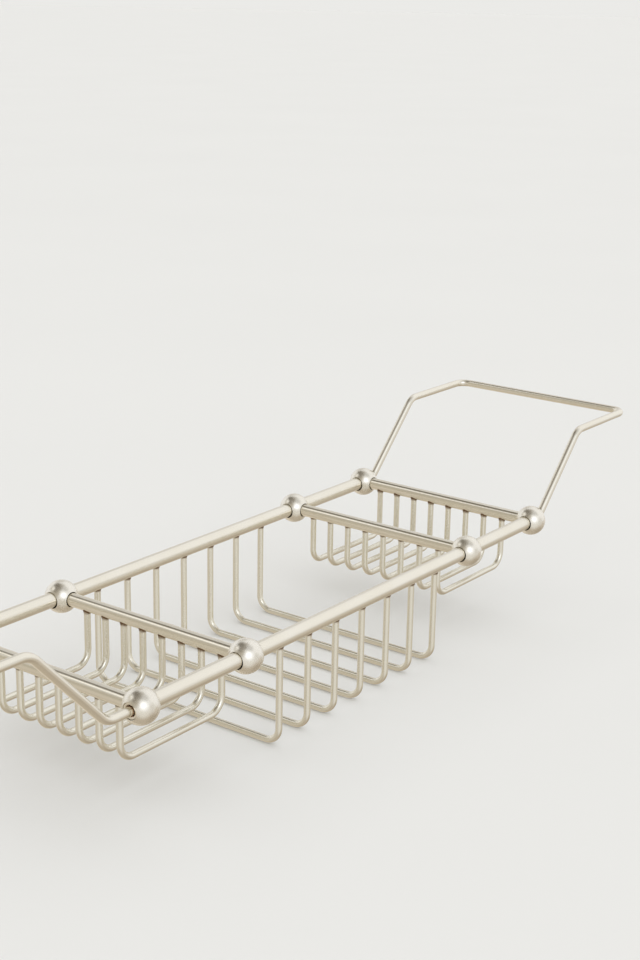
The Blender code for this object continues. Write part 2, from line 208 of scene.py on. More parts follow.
class CaddyFinish(bpy.types.PropertyGroup):
    """Colours and gloss of the plated metal and the inner pieces."""

    tube_colour: colour("Tube colour", "Satin nickel of rails, crossbars and arms", (0.895, 0.86, 0.775))
    ball_colour: colour("Ball colour", "Satin nickel of the joint balls", (0.90, 0.87, 0.80))
    wire_colour: colour("Wire colour", "Satin nickel of the basket wires", (0.865, 0.84, 0.755))
    braze_colour: colour("Braze colour", "Braze that shows where a wire meets its bar", (0.22, 0.14, 0.08))
    bore_colour: colour("Bore colour", "Dull unplated brass inside the tubes", (0.62, 0.42, 0.27))
    steel_colour: colour("Steel colour", "Grub screws", (0.36, 0.35, 0.34))
    nylon_colour: colour("Nylon colour", "Glide rings", (0.86, 0.85, 0.80))
    tube_roughness: share("Tube roughness", "Roughness of rails and arms", 0.24)
    crossbar_roughness: share("Crossbar roughness", "Roughness of the crossbars", 0.18)
    ball_roughness: share("Ball roughness", "Roughness of the joint balls", 0.26)
    wire_roughness: share("Wire roughness", "Roughness of the basket wires", 0.22)
    braze_roughness: share("Braze roughness", "Roughness of the braze", 0.55)
    steel_roughness: share("Steel roughness", "Roughness of the grub screws", 0.38)
    nylon_roughness: share("Nylon roughness", "Roughness of the glide rings", 0.5)
    tarnish: share("Tarnish", "How much the colour drifts from place to place", 0.30)


class CaddyStage(bpy.types.PropertyGroup):
    """The camera, the light and the floor."""

    view_azimuth: bearing("Azimuth", "Direction of view from +Y, towards +X", 53.2384)
    view_fall: bearing("Fall", "How far the view points down", 16.8574)
    view_roll: bearing("Roll", "Turn of the camera about its own axis", 1.0741)
    camera_place: FloatVectorProperty(
        name="Camera", description="The camera's place from the middle of the rails",
        default=(-0.89003, -0.70671, 0.41657), size=3, subtype="TRANSLATION", unit="LENGTH",
    )
    lens: amount("Lens", "Focal length in millimetres", 61.086)
    sensor: amount("Sensor", "The sensor's height in millimetres", 36.0)
    floor_colour: colour("Floor colour", "Pale floor", (0.79, 0.80, 0.80))
    floor_roughness: share("Floor roughness", "How matt the floor is", 0.7)
    floor_gloss: share("Floor gloss", "Specular level of the floor", 0.2)
    floor_radius: length("Floor radius", "The floor's radius", 420_000)
    backdrop_radius: length("Backdrop radius", "The backdrop's radius", 35_000)
    backdrop_colour: colour("Backdrop colour", "The floor's lit tone", (0.831, 0.827, 0.803))
    room_strength: amount("Room", "Brightness of the surrounding room", 1.0)
    light_colour: colour("Light colour", "Tone of the two lights", (1.0, 0.985, 0.96))
    key_strength: amount("Key light", "Strength of the broad key light", 0.20)
    key_spread: bearing("Key spread", "Width of the key light as seen from the caddy", 26)
    key_azimuth: bearing("Key azimuth", "Where the key light stands, from +Y towards +X", -153)
    key_rise: bearing("Key rise", "How high the key light stands", 25)
    top_strength: amount("Top light", "Strength of the light straight above the floor", 1.1)
    top_spread: bearing("Top spread", "Width of the top light as seen from the floor", 110)


SETTINGS = {
    "caddy_tubes": CaddyTubeSizes,
    "caddy_balls": CaddyBallSizes,
    "caddy_wires": CaddyWireSizes,
    "caddy_arms": CaddyArmSizes,
    "caddy_finish": CaddyFinish,
    "caddy_stage": CaddyStage,
}

BODY_OF = {
    node: body
    for body, members in frame["record"]["behaviour"]["bodies"].items()
    for node in members
}


def node_box(node):
    """The lowest corner, the middle and the highest corner of a node, as arrays."""
    low, high = (np.array(corner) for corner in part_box(node))
    return low, (low + high) / 2, high


def node_radius(node, axis):
    """Half of a node's width along an axis, 0 for X, 1 for Y and 2 for Z."""
    low, high = node_box(node)[::2]
    return (high[axis] - low[axis]) / 2


RAIL_LEVEL = node_box("rail_front")[1][2]


def nodes_named(start):
    """The names of the packed nodes that begin with some words, in order."""
    return sorted(node for node in frame["nodes"] if node.startswith(start))


def grid_faces(rings, around, closed=False):
    """Quads of a grid of points, ring after ring, each ring closed round its own axis.

    With closed set, the last ring is joined to the first.
    """
    ring = np.arange(rings if closed else rings - 1)[:, None] * around
    step = np.arange(around)[None, :]
    turn = (step + 1) % around
    following = (ring + around) % (rings * around)
    corners = [ring + step, ring + turn, following + turn, following + step]
    return np.stack(corners, axis=-1).reshape(-1, 4).tolist()


def pole_faces(rings, around):
    """Triangles from the first ring to a pole point after the grid, and from the last to the next."""
    step = np.arange(around)
    turn = (step + 1) % around
    first_pole = np.full(around, rings * around)
    last = (rings - 1) * around
    start = np.stack([first_pole, turn, step], axis=-1)
    finish = np.stack([first_pole + 1, last + step, last + turn], axis=-1)
    return start.tolist() + finish.tolist()


def closed_faces(rings, around):
    """Faces of a grid whose first and last rings are closed by the two poles that follow it."""
    return grid_faces(rings, around) + pole_faces(rings, around)


def surface(name, points, faces):
    """A mesh of a grid's points and of the faces that join them."""
    mesh = bpy.data.meshes.new(name)
    mesh.from_pydata(np.asarray(points).reshape(-1, 3).tolist(), [], faces)
    return mesh


def linked(name, data):
    """A new object with the given data, linked into the scene."""
    thing = bpy.data.objects.new(name, data)
    bpy.context.scene.collection.objects.link(thing)
    return thing


def add_piece(node, points, faces, material, **attributes):
    """A smooth mesh that stands for a node, with a number or a row of three at each point."""
    mesh = surface(node + "_finished", points, faces)
    for name, values in attributes.items():
        kind, key = ("FLOAT_VECTOR", "vector") if values.ndim > 1 else ("FLOAT", "value")
        attribute = mesh.attributes.new(name, kind, "POINT")
        attribute.data.foreach_set(key, np.ascontiguousarray(values, dtype=np.float32).ravel())
    mesh.shade_smooth()
    dress(node, mesh, material)


def dress(node, mesh, material):
    """Links a finished mesh, with its material, as the piece that replaces a node, on the node's body."""
    mesh.materials.clear()
    mesh.materials.append(material)
    piece = linked(node + "_finished", mesh)
    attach(piece, BODY_OF[node])
    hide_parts(node)


def unit_rows(rows):
    """Each row scaled to the length of one."""
    return rows / np.linalg.norm(rows, axis=1, keepdims=True)


def bent_path(corners, radii, steps, lead):
    """Points and unit tangents of straight runs joined by arcs of the given radii.

    An arc of radius r that turns by an angle a starts r tan(a / 2) before its corner. Its point
    at angle t is start + r sin(t) incoming + r (1 - cos(t)) inward. A pair of extra points, a
    lead away from each arc, keeps the shading of the straight runs straight.
    """
    corners = np.asarray(corners, float)
    runs = unit_rows(np.diff(corners, axis=0))
    points = [corners[:1]]
    tangents = [runs[:1]]
    for corner, incoming, outgoing, radius in zip(corners[1:], runs, runs[1:], radii):
        turn = math.acos(np.clip(incoming @ outgoing, -1, 1))
        inward = outgoing - incoming * math.cos(turn)
        inward = inward / np.linalg.norm(inward)
        start = corner - incoming * radius * math.tan(turn / 2)
        angle = np.linspace(0, turn, steps + 1)[:, None]
        arc = start + radius * (np.sin(angle) * incoming + (1 - np.cos(angle)) * inward)
        along = np.cos(angle) * incoming + np.sin(angle) * inward
        points += [arc[:1] - lead * incoming, arc, arc[-1:] + lead * outgoing]
        tangents += [incoming[None], along, outgoing[None]]
    points.append(corners[-1:])
    tangents.append(runs[-1:])
    return np.concatenate(points), np.concatenate(tangents)


def carried_circle(path, tangents, upright, radii, around):
    """A circle carried along a path: centre + radius (cos(a) first + sin(a) second).

    second is the upright direction made square to the tangent, and first is second x tangent.
    """
    second = unit_rows(upright - tangents * np.sum(upright * tangents, axis=1, keepdims=True))
    first = np.cross(second, tangents)
    angle = np.linspace(0, math.tau, around, endpoint=False)[None, :, None]
    ring = np.cos(angle) * first[:, None] + np.sin(angle) * second[:, None]
    return path[:, None] + np.asarray(radii)[:, None, None] * ring


def path_lengths(path):
    """The distance along a path to each of its points."""
    steps = np.linalg.norm(np.diff(path, axis=0), axis=1)
    return np.concatenate([[0.0], np.cumsum(steps)])


def turned_grid(along, radii, around):
    """A profile of places along X and radii, turned about X: (x, r cos(a), r sin(a)).

    With the distances along a bent rod as places, it makes the rod's grain coordinates.
    """
    angle = np.linspace(0, math.tau, around, endpoint=False)[None, :]
    along = np.broadcast_to(np.asarray(along)[:, None], (len(along), around))
    radii = np.asarray(radii)[:, None]
    return np.stack([along, radii * np.cos(angle), radii * np.sin(angle)], axis=-1)


def ring_grid(radii, levels, around):
    """Rings round Z, (r cos(a), -r sin(a), z), with r given for each ring or for each point."""
    angle = np.linspace(0, math.tau, around, endpoint=False)
    radii = np.reshape(radii, (len(levels), -1))
    levels = np.repeat(np.reshape(levels, (-1, 1)), around, axis=1)
    return np.stack([radii * np.cos(angle), -radii * np.sin(angle), levels], axis=-1)


def tube_profile(half, outer, bore, lip, lip_length, rounding, flare):
    """Places along X and radii of a tube's closed section, and where it is left unplated.

    Half is half the tube's length. Its four edges are rounded. Each end has a lip inside it that
    narrows the bore to the lip's radius, and opens to the tube's end with a quarter round of the
    flare's radius. The plating ends half way round that flare. A ring six roundings from each
    end keeps the shading of the outside even.
    """
    quarter = np.linspace(0, math.pi / 2, EDGE_STEPS + 1)
    even = half - 6 * rounding
    outer_x = [-even, even]
    outer_r = [outer, outer]
    corner_x = half - rounding + rounding * np.sin(quarter)
    corner_r = outer - rounding + rounding * np.cos(quarter)
    inner_x = half - flare + flare * np.cos(quarter)
    inner_r = lip + flare - flare * np.sin(quarter)
    lip_x = [half - lip_length, half - lip_length - rounding]
    right_x = np.concatenate([corner_x, inner_x, lip_x])
    right_r = np.concatenate([corner_r, inner_r, [lip, bore]])
    along = np.concatenate([outer_x, right_x, outer_x[::-1], -right_x[::-1]])
    radii = np.concatenate([outer_r, right_r, [bore, bore], right_r[::-1]])
    right_bare = np.concatenate([0 * quarter, quarter > math.pi / 4, [1, 1]])
    bare = np.concatenate([[0, 0], right_bare, [1, 1], right_bare[::-1]])
    return along, radii, bare


def add_tube(node, axis, bore, lip, flare, material):
    """A tube in the place of a node, along the given axis: 0 for X, 1 for Y."""
    tubes = bpy.context.scene.caddy_tubes
    along, radii, bare = tube_profile(
        node_radius(node, axis), node_radius(node, 2), bore / 2, lip / 2, tubes.lip_length,
        tubes.edge_rounding, flare,
    )
    grain = turned_grid(along, radii, tubes.tube_sides)
    points = grain
    if axis == 1:
        points = np.stack([-grain[..., 1], grain[..., 0], grain[..., 2]], axis=-1)
    faces = grid_faces(len(along), tubes.tube_sides, closed=True)
    bare = np.repeat(bare, tubes.tube_sides)
    add_piece(node, points + node_box(node)[1], faces, material, grain=grain, bare=bare)


def new_material(name):
    """An empty node material with its Principled shader and output joined."""
    material = bpy.data.materials.new(name)
    material.use_nodes = True
    nodes = material.node_tree.nodes
    return material, nodes, material.node_tree.links, nodes["Principled BSDF"]


def noise_field(nodes, links, source, stretch, detail=PLAIN_DETAIL):
    """A noise texture read from a vector socket through a stretch for each axis."""
    mapping = nodes.new("ShaderNodeMapping")
    mapping.inputs["Scale"].default_value = stretch
    links.new(source, mapping.inputs["Vector"])
    noise = nodes.new("ShaderNodeTexNoise")
    noise.inputs["Scale"].default_value = 1.0
    noise.inputs["Detail"].default_value = detail
    links.new(mapping.outputs["Vector"], noise.inputs["Vector"])
    return noise.outputs["Fac"]


def ranged(nodes, links, source, old, new):
    """A value carried from an old range to a new one, each given by its two ends."""
    node = nodes.new("ShaderNodeMapRange")
    for socket, value in zip(("From Min", "From Max", "To Min", "To Max"), (*old, *new)):
        node.inputs[socket].default_value = value
    links.new(source, node.inputs["Value"])
    return node.outputs["Result"]


def mixed(nodes, links, factor, first, second):
    """A mix of two colours, each a socket or three channels, by a factor socket."""
    node = nodes.new("ShaderNodeMix")
    node.data_type = "RGBA"
    links.new(factor, node.inputs["Factor"])
    for socket, value in ((node.inputs["A"], first), (node.inputs["B"], second)):
        if isinstance(value, bpy.types.NodeSocket):
            links.new(value, socket)
        else:
            socket.default_value = (*value, 1.0)
    return node.outputs["Result"]


def piece_attribute(nodes, name):
    """The node that reads a piece's own attribute."""
    attribute = nodes.new("ShaderNodeAttribute")
    attribute.attribute_name = name
    return attribute


def tinted(base, tint):
    """A colour with each of its channels taken down by a tint."""
    return tuple(channel * part for channel, part in zip(base, tint))


def roughened(nodes, links, pattern, roughness, swing):
    """A roughness that swings by two amounts about its value with the middle of a noise."""
    return ranged(nodes, links, pattern, NOISE_MIDDLE, (roughness + swing[0], roughness + swing[1]))


def raise_bump(nodes, links, shader, height, relief, depth):
    """Joins a height to the shader's normal through a bump."""
    bump = nodes.new("ShaderNodeBump")
    bump.inputs["Strength"].default_value = relief
    bump.inputs["Distance"].default_value = depth
    links.new(height, bump.inputs["Height"])
    links.new(bump.outputs["Normal"], shader.inputs["Normal"])


def brazed(nodes, links, place, tone, rough):
    """The tone and roughness of plated wire, burnt brown with a ragged edge at the braze."""
    finish = bpy.context.scene.caddy_finish
    mark = piece_attribute(nodes, "braze").outputs["Fac"]
    speck = noise_field(nodes, links, place, BRAZE_SPECKS)
    ragged = nodes.new("ShaderNodeMath")
    ragged.operation = "MULTIPLY_ADD"
    links.new(speck, ragged.inputs[0])
    ragged.inputs[1].default_value = BRAZE_RAGGEDNESS
    links.new(mark, ragged.inputs[2])
    burnt = ranged(nodes, links, ragged.outputs["Value"], BRAZE_GROWTH, (0, 1))
    blend = nodes.new("ShaderNodeMix")
    links.new(burnt, blend.inputs["Factor"])
    links.new(rough, blend.inputs["A"])
    blend.inputs["B"].default_value = finish.braze_roughness
    tone = mixed(nodes, links, burnt, tone, tuple(finish.braze_colour))
    return tone, blend.outputs["Result"]


def bared(nodes, links, shader, tone):
    """Makes a tube dull where its bare attribute is 1, and gives its tone, plated or brass."""
    unplated = piece_attribute(nodes, "bare").outputs["Fac"]
    plated = ranged(nodes, links, unplated, (0, 1), (1, 0))
    links.new(plated, shader.inputs["Metallic"])
    return mixed(nodes, links, unplated, tone, tuple(bpy.context.scene.caddy_finish.bore_colour))


def nickel(name, base, roughness, brushed=True, braze=False, bare=False):
    """Satin nickel: grain in roughness and bump, soft tarnish in the colour.

    Brushed grain runs along a rod or tube by its grain attribute, and a ball's grain is even.
    """
    material, nodes, links, shader = new_material(name)
    place = nodes.new("ShaderNodeTexCoord").outputs["Object"]
    grain_place = piece_attribute(nodes, "grain").outputs["Vector"] if brushed else place
    grain = noise_field(nodes, links, grain_place, ROD_GRAIN if brushed else BALL_GRAIN)
    cloud = noise_field(nodes, links, place, TARNISH_CLOUDS, RICH_DETAIL)
    most = bpy.context.scene.caddy_finish.tarnish
    drift = ranged(nodes, links, cloud, TARNISH_GROWTH, (0, most))
    tone = mixed(nodes, links, drift, base, tinted(base, TARNISH_TINT))
    rough = roughened(nodes, links, grain, roughness, GRAIN_SWING)
    shader.inputs["Metallic"].default_value = 1.0
    if braze:
        tone, rough = brazed(nodes, links, place, tone, rough)
    if bare:
        tone = bared(nodes, links, shader, tone)
    links.new(tone, shader.inputs["Base Color"])
    links.new(rough, shader.inputs["Roughness"])
    raise_bump(nodes, links, shader, grain, ROD_RELIEF if brushed else BALL_RELIEF, GRAIN_DEPTH)
    return material


def plain_finish(name, base, roughness, metallic, mottle_size):
    """A plain moulded or machined finish with fine mottling in colour, roughness and bump."""
    material, nodes, links, shader = new_material(name)
    place = nodes.new("ShaderNodeTexCoord").outputs["Object"]
    mottle = noise_field(nodes, links, place, mottle_size, RICH_DETAIL)
    tone = mixed(nodes, links, mottle, base, tinted(base, MOTTLE_TINT))
    links.new(tone, shader.inputs["Base Color"])
    rough = roughened(nodes, links, mottle, roughness, MOTTLE_SWING)
    links.new(rough, shader.inputs["Roughness"])
    shader.inputs["Metallic"].default_value = metallic
    raise_bump(nodes, links, shader, mottle, MOTTLE_RELIEF, MOTTLE_DEPTH)
    return material


def turned_solid(name, along, radii, ends):
    """A profile turned about X as an object, closed by a pole at each of its two ends on X."""
    around = bpy.context.scene.caddy_balls.ball_sides
    points = turned_grid(along, radii, around).reshape(-1, 3)
    poles = [[end, 0, 0] for end in ends]
    return linked(name, surface(name, np.concatenate([points, poles]), closed_faces(len(along), around)))


def rounded_cutter(name, hole, ball, rounding):
    """A cutter along X for a round hole in a ball, flared where it leaves the ball's surface.

    The hole's mouth lies where x = sqrt(ball^2 - hole^2). Its edge is broken by a quarter round:
    past the mouth less the rounding, the radius grows by rounding (1 - cos(t)) as x grows by
    rounding sin(t). Beyond that the cutter stays wide until it is clear of the ball.
    """
    mouth = math.sqrt(ball ** 2 - hole ** 2)
    quarter = np.linspace(0, math.pi / 2, HOLE_EDGE_STEPS + 1)[1:-1]
    flare_x = mouth - rounding + rounding * np.sin(quarter)
    flare_r = hole + rounding * (1 - np.cos(quarter))
    outer_x = [mouth + rounding, ball + rounding]
    outer_r = [hole + 2 * rounding, hole + 2 * rounding]
    # The hole starts a little past the middle, so that two of them make one bore
    hole_x = [-rounding / 8, mouth - 2 * rounding, mouth - rounding]
    along = np.concatenate([hole_x, flare_x, outer_x])
    radii = np.concatenate([[hole, hole, hole], flare_r, outer_r])
    return turned_solid(name, along, radii, (along[0], along[-1]))


def bored_ball(ball, rail_end):
    """A ball bored through along X, with a socket towards +Y and a screw hole from below.

    The ball is the grid (r cos(v), r sin(v) cos(a), r sin(v) sin(a)) with its poles on X, where
    the bore takes them away. The mouth on the rail end's side, -1 or 1, fits close round the
    tube, and with 0 neither does. The screw below presses the rail up, so the bore sits lower
    than the rail by a share of its gap.
    """
    balls = bpy.context.scene.caddy_balls
    rail = node_radius("rail_front", 2)
    crossbar = node_radius("crossbar_1", 2)
    screw = node_radius("set_screw_front_1", 0)
    angle = np.linspace(0, math.pi, balls.ball_sides // 2 + 1)[::-1][1:-1]
    blank = turned_solid("bored_ball", ball * np.cos(angle), ball * np.sin(angle), (-ball, ball))
    rounding = balls.rim_rounding
    cutters = []
    right_gap = balls.outer_gap if rail_end > 0 else balls.mouth_gap
    left_gap = balls.outer_gap if rail_end < 0 else balls.mouth_gap
    drop_share = balls.hole_drop_share
    for name, radius, softness, axis, turn, drop in (
        ("bore_right", rail + right_gap, rounding, "Z", 0, right_gap * drop_share),
        ("bore_left", rail + left_gap, rounding, "Z", 180, left_gap * drop_share),
        ("socket", crossbar + balls.mouth_gap, rounding, "Z", 90, 0),
        ("screw_hole", screw + balls.screw_gap, rounding / 2, "Y", 90, 0),
    ):
        cutter = rounded_cutter(name, radius, ball, softness)
        place = Matrix.Translation((0, 0, -drop))
        cutter.data.transform(place @ Matrix.Rotation(math.radians(turn), 4, axis))
        cutters.append(cutter)
        cut = blank.modifiers.new(name, "BOOLEAN")
        cut.operation = "DIFFERENCE"
        cut.solver = "EXACT"
        cut.object = cutter
    bpy.context.view_layer.update()
    evaluated = blank.evaluated_get(bpy.context.evaluated_depsgraph_get())
    bored = bpy.data.meshes.new_from_object(evaluated)
    for helper in (blank, *cutters):
        bpy.data.objects.remove(helper, do_unlink=True)
    return bored


def read_rows(items, key, width, kind=np.float32):
    """One row of numbers for each item of a mesh's list."""
    values = np.empty(len(items) * width, dtype=kind)
    items.foreach_get(key, values)
    return values.reshape(-1, width)


def smooth_as_ball(mesh, ball):
    """Shades a bored ball: radial normals on the round surface, its own normals in the holes.

    A face is on the round surface if its middle lies nearly a ball's radius out and it faces
    nearly straight out.
    """
    crease = math.radians(30)
    nearly = 0.98
    mesh.shade_smooth()
    mesh.set_sharp_from_angle(angle=crease)
    normals = read_rows(mesh.corner_normals, "vector", 3)
    radial = unit_rows(read_rows(mesh.vertices, "co", 3))
    corner_points = read_rows(mesh.loops, "vertex_index", 1, np.int32)[:, 0]
    middles = read_rows(mesh.polygons, "center", 3)
    facing = np.sum(unit_rows(middles) * read_rows(mesh.polygons, "normal", 3), axis=1)
    round_face = (np.linalg.norm(middles, axis=1) > nearly * ball) & (facing > nearly)
    on_round = np.repeat(round_face, read_rows(mesh.polygons, "loop_total", 1, np.int32)[:, 0])
    normals[on_round] = radial[corner_points][on_round]
    mesh.normals_split_custom_set(normals.tolist())


def screw_points(node):
    """A grub screw standing in the place of a node, its six-sided socket facing down.

    The socket's wall is at apothem / cos(a), where a is the angle from the middle of a flat.
    """
    balls = bpy.context.scene.caddy_balls
    low, middle, high = node_box(node)
    radius = node_radius(node, 0)
    chamfer = balls.screw_chamfer
    mouth_bevel = chamfer / 3
    corner = balls.socket_across_corners / 2
    around = balls.screw_sides
    angle = np.linspace(0, math.tau, around, endpoint=False)
    sixth = math.tau / 6
    from_flat = np.mod(angle, sixth) - sixth / 2
    hexagon = corner * math.cos(sixth / 2) / np.cos(from_flat)
    ones = np.ones(around)
    floor = low[2] + balls.socket_depth
    rings = (
        (high[2], (radius - chamfer) * ones),
        (high[2] - chamfer, radius * ones),
        (low[2] + chamfer, radius * ones),
        (low[2], (radius - chamfer) * ones),
        (low[2], hexagon + mouth_bevel),
        (low[2] + mouth_bevel, hexagon),
        (floor, hexagon),
    )
    levels, reaches = zip(*rings)
    points = ring_grid(reaches, levels, around) + [middle[0], middle[1], 0]
    poles = [[middle[0], middle[1], level] for level in (high[2], floor)]
    return np.concatenate([points.reshape(-1, 3), poles]), closed_faces(len(rings), around)


def add_wire(node, across_axis, bend_radius, inset, bar_node, material):
    """A U of wire in the place of a node, brazed up under the bars at its two ends.

    The U lies in the plane of Z and the across axis, 0 for X or 1 for Y, and its legs stand
    inside the bars' centre lines by the inset. Near each end the radius grows by flare times
    the cube of the share of the braze's reach, and the last points follow the bar's round: they
    rise by bar - sqrt(bar^2 - offset^2).
    """
    wires = bpy.context.scene.caddy_wires
    low, middle = node_box(node)[:2]
    bar = node_radius(bar_node, 2)
    radius = node_radius(node, 1 - across_axis)
    half = node_radius(node, across_axis) - radius
    floor = low[2] + radius
    top = RAIL_LEVEL - bar + wires.braze_sink
    across = np.eye(3)[across_axis]
    flat = np.array([middle[0], middle[1], 0.0])
    turns = ((-half, top), (-half, floor), (half, floor), (half, top))
    corners = [flat + offset * across + [0, 0, level] for offset, level in turns]
    path, tangents = bent_path(corners, [bend_radius, bend_radius], WIRE_BEND_STEPS, radius / 2)
    drop = wires.braze_reach * np.linspace(0, 1, BRAZE_STEPS + 1)[1:, None] * [0, 0, 1]
    start, finish = path[0] - drop, path[-1] - drop[::-1]
    path = np.concatenate([path[:1], start, path[1:-1], finish, path[-1:]])
    tangents = np.pad(tangents, ((BRAZE_STEPS, BRAZE_STEPS), (0, 0)), "edge")
    height_share = np.clip(1 - (top - path[:, 2]) / wires.braze_reach, 0, 1)
    radii = radius + wires.braze_flare * height_share ** 3
    upright = np.eye(3)[1 - across_axis]
    points = carried_circle(path, tangents, upright, radii, wires.wire_sides)
    offset = np.abs((points - flat) @ across)
    # Past this offset the bar's round would be too steep to follow
    steepest = 0.95 * bar
    offset = np.minimum(np.abs(offset - half - inset), steepest)
    rise = bar - np.sqrt(bar ** 2 - offset ** 2)
    points[..., 2] += rise * height_share[:, None] ** 2
    braze = np.concatenate([np.repeat(height_share, wires.wire_sides), [1.0, 1.0]])
    poles = path[[0, -1]] + [0, 0, bar - math.sqrt(bar ** 2 - inset ** 2)]
    add_rod(node, path, points, radii, poles, material, braze=braze)


def add_rod(node, path, points, radii, poles, material, **attributes):
    """A solid rod in the place of a node, from its rings of points and the poles that close it.

    The rod's grain runs along its path.
    """
    around = points.shape[1]
    grain = turned_grid(path_lengths(path), radii, around).reshape(-1, 3)
    grain = np.concatenate([grain, grain[[0, -1]]])
    points = np.concatenate([points.reshape(-1, 3), poles])
    add_piece(node, points, closed_faces(len(path), around), material, grain=grain, **attributes)


def leg_start(end_x, ring_node, rod, outward):
    """Places along X and radii of a leg's inner end: its chamfer and its ring's groove."""
    arms = bpy.context.scene.caddy_arms
    middle_x = node_box(ring_node)[1][0]
    half_groove = node_radius(ring_node, 0) + arms.groove_gap
    groove = arms.groove_diameter / 2
    first = middle_x - outward * half_groove
    second = middle_x + outward * half_groove
    edge = outward * arms.end_chamfer / 2
    along = [end_x, end_x + 2 * edge, first - edge, first, second, second + edge]
    radii = [rod - arms.end_chamfer, rod, rod, groove, groove, rod]
    return np.array(along), np.array(radii)


def add_arm(end, material):
    """A bent rod in the place of an arm's node, from one inner leg end round to the other."""
    arms = bpy.context.scene.caddy_arms
    node = end + "_arm"
    low, high = node_box(node)[::2]
    outward = 1.0 if end == "far" else -1.0
    rod = RAIL_LEVEL - low[2]
    rest_level = high[2] - rod
    outer_x = (high[0] if outward > 0 else low[0]) - outward * rod
    inner_x = low[0] if outward > 0 else high[0]
    top_x = outer_x - outward * arms.rest_span
    bend_x = top_x - outward * arms.rise_run
    half = high[1] - rod
    front_x, front_radii = leg_start(inner_x, f"glide_ring_{end}_front", rod, outward)
    back_x, back_radii = leg_start(inner_x, f"glide_ring_{end}_back", rod, outward)
    rise = ((bend_x, RAIL_LEVEL), (top_x, rest_level), (outer_x, rest_level))
    corners = [
        (front_x[-1], -half, RAIL_LEVEL),
        *((x, -half, level) for x, level in rise),
        *((x, half, level) for x, level in rise[::-1]),
        (back_x[-1], half, RAIL_LEVEL),
    ]
    bends = [arms.bend_radius, arms.bend_radius, arms.corner_radius]
    path, tangents = bent_path(corners, bends + bends[::-1], ARM_BEND_STEPS, rod)
    front = [(x, -half, RAIL_LEVEL) for x in front_x[:-1]]
    back = [(x, half, RAIL_LEVEL) for x in back_x[-2::-1]]
    radii = np.concatenate([front_radii[:-1], np.full(len(path), rod), back_radii[-2::-1]])
    tangents = np.pad(tangents, ((len(front), len(back)), (0, 0)), "edge")
    path = np.concatenate([front, path, back])
    points = carried_circle(path, tangents, np.eye(3)[2], radii, arms.arm_sides)
    add_rod(node, path, points, radii, path[[0, -1]], material)


class CADDY_OT_rails(bpy.types.Operator):
    """Build the two long side tubes"""

    bl_idname = "caddy.rails"
    bl_label = "Rails"

    def execute(self, context):
        finish = context.scene.caddy_finish
        tubes = context.scene.caddy_tubes
        metal = nickel("rail_nickel", finish.tube_colour, finish.tube_roughness, bare=True)
        for node in nodes_named("rail_"):
            add_tube(node, 0, tubes.rail_bore, tubes.rail_lip, tubes.lip_rounding, metal)
        return {"FINISHED"}


class CADDY_OT_crossbars(bpy.types.Operator):
    """Build the four tubes between the rails"""

    bl_idname = "caddy.crossbars"
    bl_label = "Crossbars"

    def execute(self, context):
        finish = context.scene.caddy_finish
        tubes = context.scene.caddy_tubes
        metal = nickel("crossbar_nickel", finish.tube_colour, finish.crossbar_roughness, bare=True)
        for node in nodes_named("crossbar_"):
            add_tube(node, 1, tubes.crossbar_bore, tubes.crossbar_bore, tubes.edge_rounding, metal)
        return {"FINISHED"}


class CADDY_OT_balls(bpy.types.Operator):
    """Build the eight bored balls that join rails and crossbars"""

    bl_idname = "caddy.balls"
    bl_label = "Joint balls"

    def execute(self, context):
        finish = context.scene.caddy_finish
        metal = nickel("ball_nickel", finish.ball_colour, finish.ball_roughness, brushed=False)
        ball = node_box("joint_ball_front_1")[2][2] - RAIL_LEVEL
        kinds = {rail_end: bored_ball(ball, rail_end) for rail_end in (-1, 0, 1)}
        for bored in kinds.values():
            smooth_as_ball(bored, ball)
        for side, turn, facing in zip(SIDES, (0, math.pi), (1, -1)):
            rail_y = node_box("rail_" + side)[1][1]
            for node in nodes_named("joint_ball_" + side):
                number = node.rsplit("_", 1)[1]
                bar_x = node_box("crossbar_" + number)[1][0]
                rail_end = facing * {"1": -1, "4": 1}.get(number, 0)
                mesh = kinds[rail_end].copy()
                mesh.name = node + "_finished"
                place = Matrix.Translation((bar_x, rail_y, RAIL_LEVEL))
                mesh.transform(place @ Matrix.Rotation(turn, 4, "Z"))
                dress(node, mesh, metal)
        for bored in kinds.values():
            bpy.data.meshes.remove(bored)
        return {"FINISHED"}


class CADDY_OT_screws(bpy.types.Operator):
    """Build the grub screws under the balls"""

    bl_idname = "caddy.screws"
    bl_label = "Grub screws"

    def execute(self, context):
        finish = context.scene.caddy_finish
        steel = plain_finish("screw_steel", finish.steel_colour, finish.steel_roughness, 1.0, STEEL_MOTTLE)
        for node in nodes_named("set_screw_"):
            points, faces = screw_points(node)
            add_piece(node, points, faces, steel)
        return {"FINISHED"}


class CADDY_OT_end_baskets(bpy.types.Operator):
    """Build the lengthwise wires of the two shallow baskets"""

    bl_idname = "caddy.end_baskets"
    bl_label = "End baskets"

    def execute(self, context):
        finish = context.scene.caddy_finish
        metal = nickel("end_wire_nickel", finish.wire_colour, finish.wire_roughness, braze=True)
        wires = context.scene.caddy_wires
        for end in ENDS:
            for node in nodes_named(end + "_basket_wire_"):
                add_wire(node, 0, wires.end_bend_radius, wires.end_inset, "crossbar_1", metal)
        return {"FINISHED"}


class CADDY_OT_middle_basket(bpy.types.Operator):
    """Build the crosswise wires of the deep basket"""

    bl_idname = "caddy.middle_basket"
    bl_label = "Middle basket"

    def execute(self, context):
        finish = context.scene.caddy_finish
        metal = nickel("middle_wire_nickel", finish.wire_colour, finish.wire_roughness, braze=True)
        for node in nodes_named("middle_basket_wire_"):
            add_wire(node, 1, context.scene.caddy_wires.middle_bend_radius, 0.0, "rail_front", metal)
        return {"FINISHED"}


